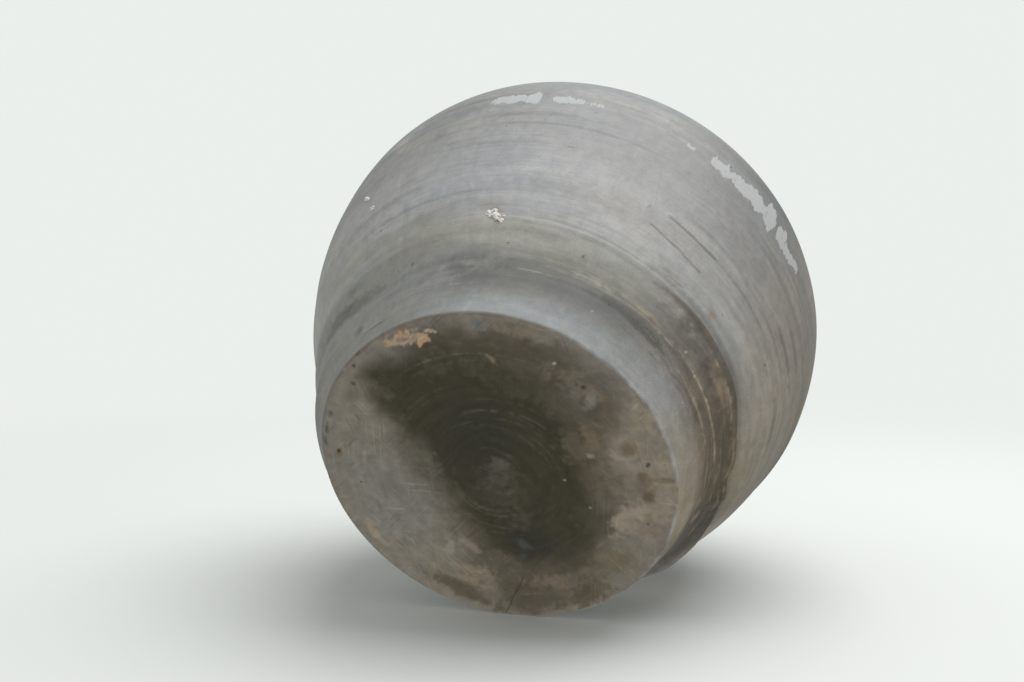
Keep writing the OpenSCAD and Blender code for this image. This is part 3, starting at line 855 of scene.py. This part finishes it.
class Tree:
    """A short way to write a material's nodes."""

    def __init__(self, name):
        self.material = bpy.data.materials.new(name)
        self.material.use_nodes = True
        self.t = self.material.node_tree
        self.shader = self.t.nodes["Principled BSDF"]

    def node(self, kind, inputs=(), **settings):
        n = self.t.nodes.new("ShaderNode" + kind)
        for key, value in settings.items():
            setattr(n, key, value)
        for key, value in dict(inputs).items():
            self.put(n.inputs[key], value)
        return n

    def put(self, socket, value):
        if isinstance(value, bpy.types.NodeSocket):
            self.t.links.new(value, socket)
        else:
            socket.default_value = value

    def math(self, operation, *values):
        return self.node("Math", dict(enumerate(values)), operation=operation).outputs[0]

    def vector(self, operation, *values):
        return self.node("VectorMath", dict(enumerate(values)), operation=operation).outputs[0]

    def range(self, value, low, high, to_low=0.0, to_high=1.0):
        limits = {"Value": value, "From Min": low, "From Max": high, "To Min": to_low, "To Max": to_high}
        return self.node("MapRange", limits, interpolation_type="SMOOTHSTEP").outputs["Result"]

    def noise(self, vector, scale, detail=4.0, roughness=0.55):
        inputs = {"Vector": vector, "Scale": scale, "Detail": detail, "Roughness": roughness}
        return self.node("TexNoise", inputs).outputs["Fac"]

    def mix(self, amount, a, b):
        n = self.node("Mix", data_type="RGBA")
        for socket, value in ((n.inputs["Factor"], amount), (n.inputs[6], a), (n.inputs[7], b)):
            self.put(socket, value)
        return n.outputs[2]

    def attribute(self, name):
        return self.node("Attribute", attribute_name=name).outputs["Vector"]

    def hairs(self, place, directions, density):
        """Thin broken lines along some directions, each a stretched noise cut into short pieces."""
        total = 0.0
        for turns in directions:
            inputs = {"Vector": place, "Rotation": turns, "Scale": HAIR_CELL}
            spot = self.node("Mapping", inputs, vector_type="TEXTURE").outputs[0]
            ridge = self.math("ABSOLUTE", self.math("SUBTRACT", self.noise(spot, 1.0, 0.0), 0.5))
            cut = self.noise(self.vector("ADD", place, turns), 48.0, 1.0)
            hair = self.range(ridge, 0.0, 0.035, 1.0, 0.0)
            piece = self.math("MULTIPLY", hair, self.range(cut, 0.59, 0.68))
            total = self.math("MAXIMUM", total, piece)
        return self.math("MULTIPLY", total, density)


# Directions of the fine scratches, as turns about X, Y and Z, and the size of their noise cells
HAIR_CELL = (0.22, 0.007, 0.22)
PALE_HAIRS = [(0, 0, 0.4), (0, 0.7, 1.9), (0.9, 0, 2.7), (0, -0.6, 1.2)]
DARK_HAIRS = [(0, 0.3, 0.9), (0.5, 0.9, 2.3)]


def make_clay():
    """Burnished black clay, worn and smoked: colours from the paint, fine detail from noise."""
    m = Tree("worn_black_clay")
    place = m.node("TexCoord").outputs["Object"]
    wrap = m.attribute("wrap")
    field = m.node("SeparateXYZ", {0: m.attribute("marks")}).outputs
    scuff_in, scratch_in, matte_in = field[0], field[1], field[2]
    fine = m.noise(m.vector("MULTIPLY", wrap, (3.0, 3.0, 420.0)), 1.0, 6.0, 0.65)
    strokes = m.noise(m.vector("MULTIPLY", wrap, (7.0, 7.0, 1300.0)), 1.0, 3.0, 0.6)
    grain = m.noise(place, 1400.0, 3.0, 0.7)
    mottle = m.noise(place, 130.0, 5.0, 0.6)
    wear = m.node("SeparateXYZ", {0: m.attribute("wear")}).outputs
    # fine detail, as a factor on the paint
    turned = m.math("MULTIPLY_ADD", matte_in, -0.85, 1.0)
    streak = m.math("ADD", m.range(fine, 0.25, 0.75, -0.06, 0.06), m.range(strokes, 0.25, 0.75, -0.04, 0.04))
    tone = m.math("MULTIPLY_ADD", streak, turned, 1.0)
    tone = m.math("ADD", tone, m.range(grain, 0.3, 0.7, -0.08, 0.08))
    tone = m.math("ADD", tone, m.range(mottle, 0.3, 0.7, -0.075, 0.075))
    pale, dark = m.hairs(place, PALE_HAIRS, wear[0]), m.hairs(place, DARK_HAIRS, wear[0])
    scored = m.math("MULTIPLY_ADD", pale, 0.28, m.math("MULTIPLY_ADD", dark, -0.26, 1.0))
    tone = m.math("MULTIPLY", tone, scored)
    tones = m.node("CombineXYZ", dict.fromkeys(range(3), tone)).outputs[0]
    colour = m.vector("MULTIPLY", m.attribute("paint"), tones)
    # scratches
    line = m.range(m.math("ADD", scratch_in, m.range(strokes, 0.3, 0.7, -0.12, 0.12)), 0.62, 0.86)
    line_amount = m.math("MULTIPLY", line, 0.5)
    colour = m.mix(line_amount, colour, (0.14, 0.105, 0.09, 1))
    # pale flecks
    fleck = m.math("ADD", m.noise(place, 1100.0, 2.0, 0.7), m.math("MULTIPLY_ADD", mottle, 0.3, -0.15))
    fleck = m.math("MULTIPLY", m.range(fleck, 0.60, 0.72), wear[1])
    colour = m.mix(m.math("MULTIPLY", fleck, 0.55), colour, (0.56, 0.52, 0.45, 1))
    # lime scuff
    comb = m.noise(m.vector("MULTIPLY", wrap, (150.0, 150.0, 22.0)), 1.0, 2.0, 0.6)
    lime = m.math("ADD", scuff_in, m.range(comb, 0.3, 0.7, -0.30, 0.30))
    lime = m.range(m.math("ADD", lime, m.range(mottle, 0.3, 0.7, -0.15, 0.15)), 0.45, 0.75)
    lime_amount = m.math("MULTIPLY", lime, m.range(grain, 0.25, 0.6, 0.60, 0.85))
    colour = m.mix(lime_amount, colour, (0.52, 0.53, 0.535, 1))
    # dark specks
    speck = m.node("TexVoronoi", {"Vector": place, "Scale": 115.0, "Randomness": 1.0}).outputs["Distance"]
    chosen = m.range(m.noise(place, 31.0, 2.0), 0.60, 0.66)
    speck = m.math("MULTIPLY", m.range(speck, 0.05, 0.13, 1.0, 0.0), chosen)
    colour = m.mix(m.math("MULTIPLY", speck, 0.7), colour, (0.05, 0.045, 0.04, 1))
    m.put(m.shader.inputs["Base Color"], colour)
    # gloss
    rough = m.math("ADD", m.range(fine, 0.3, 0.7, 0.40, 0.52), m.math("MULTIPLY", matte_in, 0.24))
    rough = m.math("ADD", rough, m.math("MULTIPLY", lime_amount, 0.25))
    m.put(m.shader.inputs["Roughness"], m.math("MINIMUM", rough, 0.92))
    m.put(m.shader.inputs["Specular IOR Level"], 0.42)
    # relief
    streaks = m.math("ADD", m.math("MULTIPLY", fine, 0.35), m.math("MULTIPLY", strokes, 0.1))
    height = m.math("MULTIPLY", streaks, turned)
    for layer, amount in ((grain, 0.22), (mottle, 0.35), (line, -0.5), (speck, -0.6), (lime_amount, 0.25)):
        height = m.math("ADD", height, m.math("MULTIPLY", layer, amount))
    bumped = m.node("Bump", {"Height": height, "Strength": 0.55, "Distance": 0.0006})
    m.put(m.shader.inputs["Normal"], bumped.outputs[0])
    return m.material


def make_plaster():
    """Lime plaster: off-white crumbs with rust-brown stains and a rough face."""
    m = Tree("lime_plaster")
    place = m.node("TexCoord").outputs["Object"]
    stains, grain = m.noise(place, 420.0, 3.0), m.noise(place, 1800.0, 4.0, 0.7)
    colour = m.mix(m.range(grain, 0.3, 0.7), (0.82, 0.81, 0.78, 1), (0.95, 0.95, 0.93, 1))
    colour = m.mix(m.range(stains, 0.55, 0.66), colour, (0.34, 0.20, 0.11, 1))
    m.put(m.shader.inputs["Base Color"], colour)
    m.put(m.shader.inputs["Roughness"], m.range(grain, 0.3, 0.7, 0.85, 0.95))
    bumped = m.node("Bump", {"Height": grain, "Strength": 0.6, "Distance": 0.0004})
    m.put(m.shader.inputs["Normal"], bumped.outputs[0])
    return m.material


# Plaster crumbs stuck to the wall: angle, height and half width in millimetres
CRUMBS = [
    (240, 70.9, 1.9), (241.3, 71.8, 1.7), (241.9, 69.8, 2), (242.9, 68.2, 2.1), (243.6, 66.3, 1.7),
    (240.8, 69.2, 1.1), (243.9, 69.4, 1.1), (202.8, 120.2, 1.6), (203.4, 117.6, 1.2), (205.6, 103.8, 1.7),
]
CRUMB_FLATNESS = 0.55


def crumb(k, deg, high, half):
    """A lump pressed on the outer face, higher in its middle, with a broken outline."""
    col = int(deg / 360 * STEPS)
    row = int(np.argmin(np.where(is_out[:, 0], np.abs(Z[:, col] - high), FAR)))
    centre, out = Vector(grid[row, col]), Vector(normal[row, col])
    lump = bmesh.new()
    bmesh.ops.create_icosphere(lump, subdivisions=4, radius=1.0)
    for v in lump.verts:
        broad = mathutils_noise.noise(v.co * 1.6 + Vector((7.0 * k, 3.0, 1.0)))
        small = mathutils_noise.noise(v.co * 4.0 + Vector((k, 0, 0)))
        v.co *= 1 + 0.55 * (broad + 0.5 * small)
        v.co.z *= CRUMB_FLATNESS
    facing = out.to_track_quat("Z", "Y").to_matrix().to_4x4()
    place = Matrix.Translation(centre) @ facing @ Matrix.Scale(half * MM, 4)
    bmesh.ops.transform(lump, matrix=place, verts=lump.verts)
    mesh = bpy.data.meshes.new("plaster_crumb_%d" % k)
    lump.to_mesh(mesh)
    lump.free()
    for p in mesh.polygons:
        p.use_smooth = True
    piece = bpy.data.objects.new("plaster_crumb_%d" % k, mesh)
    bpy.context.scene.collection.objects.link(piece)
    return piece


clay, plaster = make_clay(), make_plaster()

for k, (node, slot) in enumerate(NODES.items()):
    piece = build(k, node)
    piece.data.materials.append(clay)
    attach(piece, "root")
    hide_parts(node)

for k, spot in enumerate(CRUMBS):
    piece = crumb(k, *spot)
    piece.data.materials.append(plaster)
    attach(piece, "root")

# ---- Stage ------------------------------------------------------------------------

PALE = (0.78, 0.80, 0.785)
FLOOR_Z = -0.0006
STAGE_HALF = 6
TABLE_NORMAL = Vector((-0.422, -0.800, 0.426)).normalized()
TABLE_POINT = Vector((0.0513, 0.0973, 0.0))


def stage_plane(name, point, up, fade, only_as_table):
    """A plane only the camera sees, fading out from its middle; the table shows from below the floor."""
    mesh = bpy.data.meshes.new(name)
    q = up.to_track_quat("Z", "Y")
    corners = [point + q @ Vector((x, y, 0)) * STAGE_HALF for x, y in ((-1, -1), (1, -1), (1, 1), (-1, 1))]
    mesh.from_pydata([tuple(c) for c in corners], [], [(0, 1, 2, 3)])
    plane = bpy.data.objects.new(name, mesh)
    bpy.context.scene.collection.objects.link(plane)
    m = Tree(name)
    m.t.nodes.remove(m.shader)
    solid = m.node("BsdfDiffuse", {"Color": (*PALE, 1)}).outputs[0]
    clear = m.node("BsdfTransparent").outputs[0]
    geometry, path = m.node("NewGeometry").outputs, m.node("LightPath").outputs
    distance = m.node("VectorMath", {0: geometry["Position"], 1: tuple(point)}, operation="DISTANCE").outputs["Value"]
    faded = m.node("MixShader", {0: m.range(distance, *fade), 1: solid, 2: clear}).outputs[0]
    if only_as_table:
        low = m.node("SeparateXYZ", {0: geometry["Position"]}).outputs["Z"]
        shown = m.math("MAXIMUM", path["Transparent Depth"], m.math("LESS_THAN", low, FLOOR_Z))
        shader = m.node("MixShader", {0: shown, 1: clear, 2: faded})
    else:
        shader = m.node("MixShader", {0: geometry["Backfacing"], 1: faded, 2: clear})
    m.t.links.new(shader.outputs[0], m.t.nodes["Material Output"].inputs["Surface"])
    mesh.materials.append(m.material)
    plane.visible_diffuse = plane.visible_glossy = plane.visible_transmission = False
    plane.visible_shadow = plane.visible_volume_scatter = False


stage_plane("floor", Vector((0, 0, FLOOR_Z)), Vector((0, 0, 1)), (1.2, 2.8), False)
stage_plane("table", TABLE_POINT, TABLE_NORMAL, (0.45, 1.2), True)

world = bpy.data.worlds.new("soft_world")
bpy.context.scene.world = world
world.use_nodes = True
wt = world.node_tree
bg = wt.nodes["Background"]
bg.inputs["Color"].default_value = (0.83, 0.86, 0.84, 1)
bg.inputs["Strength"].default_value = 1.0
lit = wt.nodes.new("ShaderNodeBackground")
lit.inputs["Color"].default_value = (0.95, 0.975, 0.965, 1)
lit.inputs["Strength"].default_value = 0.55
pick = wt.nodes.new("ShaderNodeMixShader")
path = wt.nodes.new("ShaderNodeLightPath")
wt.links.new(path.outputs["Is Camera Ray"], pick.inputs[0])
wt.links.new(lit.outputs[0], pick.inputs[1])
wt.links.new(bg.outputs[0], pick.inputs[2])
wt.links.new(pick.outputs[0], wt.nodes["World Output"].inputs["Surface"])


def softbox(name, azimuth, elevation, distance, size, power):
    """A square light at an azimuth and elevation round the middle of the pot."""
    a, e = math.radians(azimuth), math.radians(elevation)
    back = Vector((math.sin(a) * math.cos(e), -math.cos(a) * math.cos(e), math.sin(e)))
    data = bpy.data.lights.new(name, "AREA")
    data.shape, data.size, data.energy = "SQUARE", size, power
    lamp = bpy.data.objects.new(name, data)
    lamp.location = Vector((0, 0, 0.15)) + back * distance
    lamp.rotation_mode = "QUATERNION"
    lamp.rotation_quaternion = back.to_track_quat("Z", "Y")
    bpy.context.scene.collection.objects.link(lamp)


softbox("key", azimuth=350, elevation=35, distance=2.2, size=2.2, power=45)

# ---- Camera -----------------------------------------------------------------------

CAMERA_AT = Vector((0, -0.5744, -0.7032))
LOOK_AT = Vector((-0.0283, 0, 0.1354))
CAMERA_UP = Vector((-0.4264, -0.7530, 0.5014))
LENS, SENSOR = 52.73, 36
back = (CAMERA_AT - LOOK_AT).normalized()
right = CAMERA_UP.cross(back).normalized()
up = back.cross(right)
camera = bpy.data.objects.new("camera", bpy.data.cameras.new("camera"))
camera.data.lens, camera.data.sensor_width = LENS, SENSOR
camera.matrix_world = Matrix.Translation(CAMERA_AT) @ Matrix((right, up, back)).transposed().to_4x4()
bpy.context.scene.collection.objects.link(camera)
bpy.context.scene.camera = camera
bpy.context.scene.view_settings.view_transform = "Standard"
